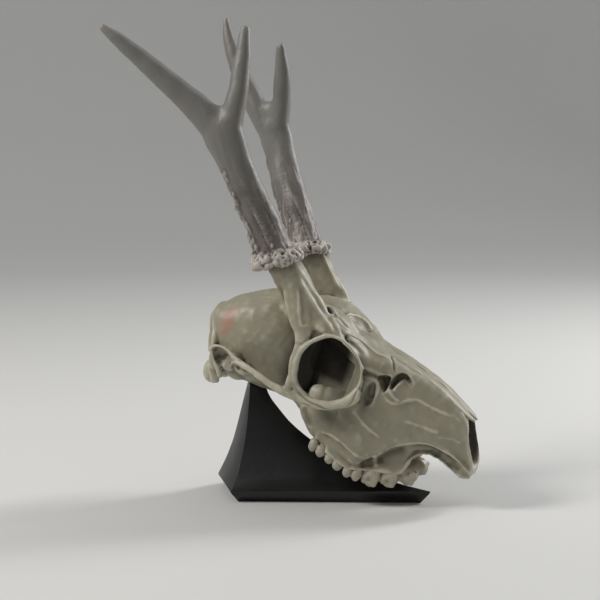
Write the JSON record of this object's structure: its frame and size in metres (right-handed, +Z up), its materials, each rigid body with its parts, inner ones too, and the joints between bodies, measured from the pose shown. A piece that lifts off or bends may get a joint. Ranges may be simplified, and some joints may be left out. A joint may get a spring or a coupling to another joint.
{
  "type": "roe deer skull with antlers on a display pedestal",
  "caption": "Roe buck skull without its lower jaw, with branched antlers, tipped nose down on a black kite-shaped display pedestal.",
  "frame": {"origin": "centre of the pedestal's underside, on the floor", "axes": "+X towards the snout, +Y to the animal's left, +Z up through the antlers"},
  "size_m": [0.2333, 0.1351, 0.3218],
  "materials": {
    "bone": "dry, slightly waxy bone in olive khaki, paler on ridges",
    "antler": "hard, lightly polished antler, grey brown with pale beads at the foot",
    "stand": "polished black"
  },
  "bodies": {
    "root": {"braincase": "bone", "right_frontal_and_orbit": "bone", "left_frontal_and_orbit": "bone", "right_pedicle": "bone", "left_pedicle": "bone", "nasal_bones": "bone", "right_maxilla": "bone", "left_maxilla": "bone", "right_premaxilla": "bone", "left_premaxilla": "bone", "right_zygomatic_arch": "bone", "left_zygomatic_arch": "bone", "right_antler_beam": "antler", "right_antler_front_tine": "antler", "right_antler_rear_tine": "antler", "left_antler_beam": "antler", "left_antler_front_tine": "antler", "left_antler_rear_tine": "antler", "stand_plinth": "stand"}
  },
  "joints": []
}
